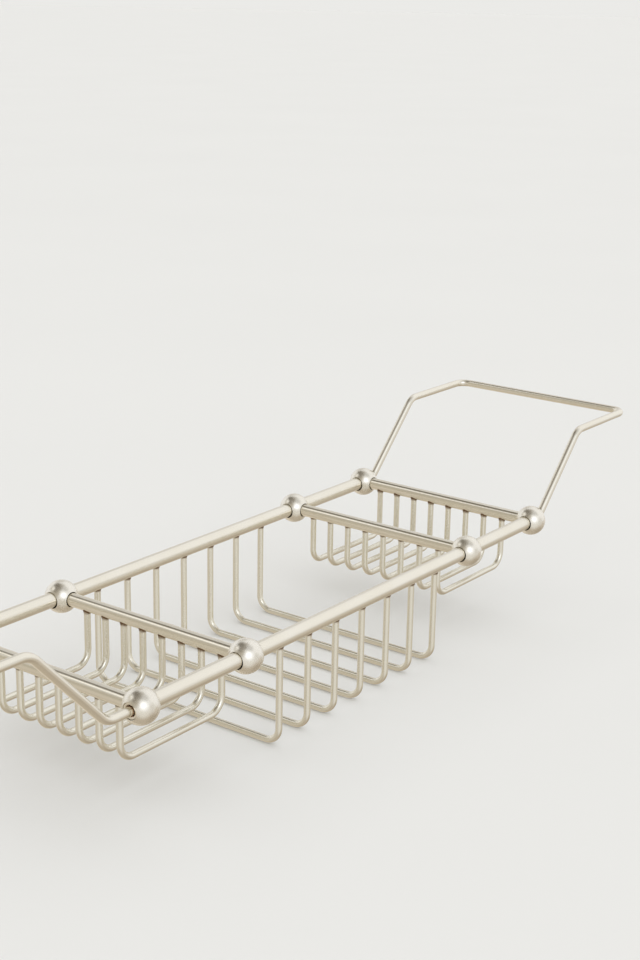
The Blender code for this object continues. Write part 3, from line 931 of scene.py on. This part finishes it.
class CADDY_OT_arms(bpy.types.Operator):
    """Build the two bent end arms and finish their glide rings"""

    bl_idname = "caddy.arms"
    bl_label = "End arms"

    def execute(self, context):
        finish = context.scene.caddy_finish
        metal = nickel("arm_nickel", finish.tube_colour, finish.tube_roughness)
        for end in ENDS:
            add_arm(end, metal)
        nylon = plain_finish("glide_nylon", finish.nylon_colour, finish.nylon_roughness, 0.0, NYLON_MOTTLE)
        for node in nodes_named("glide_ring_"):
            for slot in frame["nodes"][node].material_slots:
                slot.material = nylon
        return {"FINISHED"}


def direction_of(azimuth, elevation):
    """The unit vector at an azimuth from +Y towards +X and an elevation above the floor."""
    flat = math.cos(elevation)
    return Vector((flat * math.sin(azimuth), flat * math.cos(azimuth), math.sin(elevation)))


def add_camera(stage, focus):
    """The camera, turned to the direction of view and then about its own axis."""
    data = bpy.data.cameras.new("caddy_camera")
    data.sensor_fit = "VERTICAL"
    data.sensor_height = stage.sensor
    data.lens = stage.lens
    data.clip_start, data.clip_end = VIEW_DEPTHS
    camera = linked("caddy_camera", data)
    forward = direction_of(stage.view_azimuth, -stage.view_fall)
    turn = forward.to_track_quat("-Z", "Y").to_matrix().to_4x4()
    roll = Matrix.Rotation(stage.view_roll, 4, "Z")
    camera.matrix_world = Matrix.Translation(focus + Vector(stage.camera_place)) @ turn @ roll
    bpy.context.scene.camera = camera


def add_floor(stage):
    """A flat disc under the caddy's lowest wires: rings of radius r s^3, s from nearly 0 to 1."""
    first_share = 0.0005
    radii = stage.floor_radius * np.linspace(first_share, 1, FLOOR_RINGS) ** 3
    rings = ring_grid(radii, 0 * radii, STAGE_SIDES)
    points = np.concatenate([rings.reshape(-1, 3), [[0, 0, 0]]])
    fan = pole_faces(FLOOR_RINGS, STAGE_SIDES)[:STAGE_SIDES]
    mesh = surface("floor", points, grid_faces(FLOOR_RINGS, STAGE_SIDES) + fan)
    material, nodes, links, shader = new_material("floor")
    place = nodes.new("ShaderNodeTexCoord").outputs["Object"]
    cloud = noise_field(nodes, links, place, FLOOR_CLOUDS)
    base = tuple(stage.floor_colour)
    tone = mixed(nodes, links, cloud, base, tinted(base, FLOOR_TINT))
    links.new(tone, shader.inputs["Base Color"])
    shader.inputs["Roughness"].default_value = stage.floor_roughness
    shader.inputs["Specular IOR Level"].default_value = stage.floor_gloss
    mesh.materials.append(material)
    floor = linked("floor", mesh)
    # The metal mirrors the room's own lower half, which is dimmer than the lit floor
    floor.visible_glossy = False


def add_backdrop(stage):
    """A plain dome round the floor, for the camera alone, in the floor's tone.

    It is the grid r (cos(e) cos(a), -cos(e) sin(a), sin(e)), from just under the floor to nearly
    overhead, and a pole closes each end.
    """
    lowest_degrees = -0.5
    highest_degrees = 88
    rise = np.radians(np.linspace(lowest_degrees, highest_degrees, BACKDROP_RINGS))
    radius = stage.backdrop_radius
    rings = ring_grid(radius * np.cos(rise), radius * np.sin(rise), STAGE_SIDES)
    poles = [[0, 0, rings[0, 0, 2]], [0, 0, radius]]
    points = np.concatenate([rings.reshape(-1, 3), poles])
    mesh = surface("backdrop", points, closed_faces(BACKDROP_RINGS, STAGE_SIDES))
    material, *_, shader = new_material("backdrop")
    shader.inputs["Base Color"].default_value = (0.0, 0.0, 0.0, 1.0)
    shader.inputs["Specular IOR Level"].default_value = 0.0
    shader.inputs["Emission Color"].default_value = (*stage.backdrop_colour, 1.0)
    shader.inputs["Emission Strength"].default_value = 1.0
    material.cycles.emission_sampling = "NONE"
    mesh.materials.append(material)
    dome = linked("backdrop", mesh)
    for ray in ("diffuse", "glossy", "transmission", "volume_scatter", "shadow"):
        setattr(dome, "visible_" + ray, False)


def shade_patch(nodes, links, place, azimuth, elevation, inner, outer):
    """How far a direction lies in a round patch of the room, from its edge to its core."""
    dot = nodes.new("ShaderNodeVectorMath")
    dot.operation = "DOT_PRODUCT"
    links.new(place, dot.inputs[0])
    dot.inputs[1].default_value = direction_of(math.radians(azimuth), math.radians(elevation))
    ramp = nodes.new("ShaderNodeMapRange")
    ramp.interpolation_type = "SMOOTHSTEP"
    ramp.inputs["From Min"].default_value = math.cos(math.radians(outer))
    ramp.inputs["From Max"].default_value = math.cos(math.radians(inner))
    links.new(dot.outputs["Value"], ramp.inputs["Value"])
    return ramp.outputs["Result"]


# Soft patches of the room: azimuth from +Y towards +X, elevation, and the half widths of core
# and edge, all in degrees, then the tone
ROOM_PATCHES = (
    (0, -90, 35, 98, (0.52, 0.455, 0.365)),
    (-148, -16, 8, 50, (0.80, 0.78, 0.73)),
    (-48, -17, 6, 40, (0.62, 0.565, 0.475)),
    (18, -50, 6, 26, (0.74, 0.665, 0.55)),
    (120, -46, 3, 34, (0.43, 0.37, 0.29)),
    (128, -23, 3, 20, (0.60, 0.54, 0.455)),
    (112, 32, 5, 44, (0.955, 0.95, 0.94)),
    (54, 8, 4, 30, (0.76, 0.745, 0.72)),
    (40, 32, 5, 20, (0.62, 0.60, 0.56)),
    (158, 2, 3, 26, (0.72, 0.70, 0.655)),
    (-84, 36, 10, 46, (0.46, 0.42, 0.345)),
    (0, 84, 8, 30, (0.44, 0.41, 0.36)),
    (172, 64, 5, 28, (0.62, 0.61, 0.59)),
    (-54, 14, 5, 26, (0.50, 0.46, 0.38)),
    (-22, 36, 4, 16, (0.50, 0.465, 0.39)),
    (-30, 66, 8, 28, (0.20, 0.18, 0.15)),
    (-100, 73, 4, 20, (0.30, 0.275, 0.235)),
    (2, 56, 6, 22, (0.20, 0.18, 0.145)),
    (-70, 50, 5, 22, (0.26, 0.235, 0.195)),
    (-40, 45, 3, 11, (1.10, 1.08, 1.03)),
    (-26, 44, 3, 11, (1.10, 1.08, 1.03)),
    (-152, 22, 5, 38, (1.12, 1.14, 1.18)),
    (-149, 26, 4, 19, (1.85, 1.90, 2.00)),
)
ROOM_TONE = (0.90, 0.895, 0.885)


def add_room(stage):
    """A pale room, with its patches laid one over the other."""
    world = bpy.data.worlds.new("pale_room")
    bpy.context.scene.world = world
    world.use_nodes = True
    nodes, links = world.node_tree.nodes, world.node_tree.links
    place = nodes.new("ShaderNodeTexCoord").outputs["Generated"]
    tone = ROOM_TONE
    for azimuth, elevation, inner, outer, patch_tone in ROOM_PATCHES:
        patch = shade_patch(nodes, links, place, azimuth, elevation, inner, outer)
        tone = mixed(nodes, links, patch, tone, patch_tone)
    background = nodes["Background"]
    links.new(tone, background.inputs["Color"])
    background.inputs["Strength"].default_value = stage.room_strength


def add_light(name, energy, spread, towards):
    """A broad far light from a direction, which no gloss shows."""
    data = bpy.data.lights.new(name, "SUN")
    data.energy = energy
    data.angle = spread
    data.color = bpy.context.scene.caddy_stage.light_colour
    light = linked(name, data)
    light.matrix_world = towards.to_track_quat("Z", "Y").to_matrix().to_4x4()
    light.visible_glossy = False


class CADDY_OT_stage(bpy.types.Operator):
    """Set up the floor, the room, the light and the camera"""

    bl_idname = "caddy.stage"
    bl_label = "Stage"

    def execute(self, context):
        stage = context.scene.caddy_stage
        rail = node_box("rail_front")[1]
        add_camera(stage, Vector((rail[0], 0, rail[2])))
        add_floor(stage)
        add_backdrop(stage)
        add_room(stage)
        key_direction = direction_of(stage.key_azimuth, stage.key_rise)
        add_light("key_light", stage.key_strength, stage.key_spread, key_direction)
        add_light("top_light", stage.top_strength, stage.top_spread, Vector((0.0, 0.0, 1.0)))
        context.scene.view_settings.view_transform = "Standard"
        return {"FINISHED"}


OPERATORS = (
    CADDY_OT_rails,
    CADDY_OT_crossbars,
    CADDY_OT_balls,
    CADDY_OT_screws,
    CADDY_OT_end_baskets,
    CADDY_OT_middle_basket,
    CADDY_OT_arms,
    CADDY_OT_stage,
)


class CADDY_PT_panel(bpy.types.Panel):
    """Buttons for each group of pieces, and their sizes"""

    bl_idname = "CADDY_PT_panel"
    bl_label = "Wire caddy"
    bl_space_type = "VIEW_3D"
    bl_region_type = "UI"
    bl_category = "Caddy"

    def draw(self, context):
        layout = self.layout
        for operator in OPERATORS:
            layout.operator(operator.bl_idname)
        for name, group in SETTINGS.items():
            box = layout.box()
            box.label(text=group.__doc__)
            for key in group.__annotations__:
                box.prop(getattr(context.scene, name), key)


def register():
    """Registers the classes and hangs the settings on the scene."""
    for group in SETTINGS.values():
        bpy.utils.register_class(group)
    for name, group in SETTINGS.items():
        setattr(bpy.types.Scene, name, PointerProperty(type=group))
    for cls in (*OPERATORS, CADDY_PT_panel):
        bpy.utils.register_class(cls)


def unregister():
    """Takes the settings and the classes away again."""
    for cls in (CADDY_PT_panel, *reversed(OPERATORS)):
        bpy.utils.unregister_class(cls)
    for name, group in SETTINGS.items():
        delattr(bpy.types.Scene, name)
        bpy.utils.unregister_class(group)


def main():
    """Builds every group in order."""
    register()
    bpy.ops.caddy.rails()
    bpy.ops.caddy.crossbars()
    bpy.ops.caddy.balls()
    bpy.ops.caddy.screws()
    bpy.ops.caddy.end_baskets()
    bpy.ops.caddy.middle_basket()
    bpy.ops.caddy.arms()
    bpy.ops.caddy.stage()


if __name__ == "__main__":
    main()
